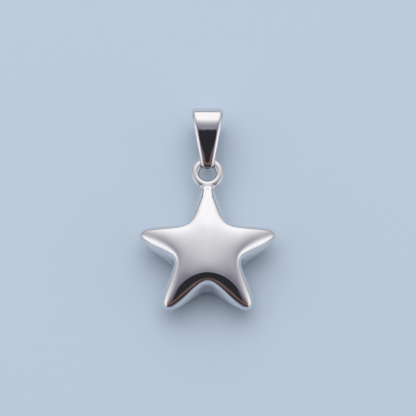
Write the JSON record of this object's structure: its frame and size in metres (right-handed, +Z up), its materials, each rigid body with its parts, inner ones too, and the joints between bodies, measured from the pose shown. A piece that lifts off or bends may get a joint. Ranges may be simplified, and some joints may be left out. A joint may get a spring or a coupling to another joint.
{
  "type": "star pendant",
  "caption": "Puffed star pendant of mirror-polished steel, its top arm soldered to a round ring that hangs from a tapered loop bail.",
  "frame": {"origin": "under the middle of the whole pendant's box, on the surface that it lies on", "axes": "+Z up out of the star's face, +Y from the star to the bail along the pendant's length, +X to the right, and the pendant is mirror symmetric in X"},
  "size_m": [0.0182, 0.0288, 0.006],
  "materials": {
    "polished_steel": "mirror polished, with faint hairline scratches"
  },
  "bodies": {
    "root": {"star_drop": "polished_steel", "bail": "polished_steel"}
  },
  "joints": []
}
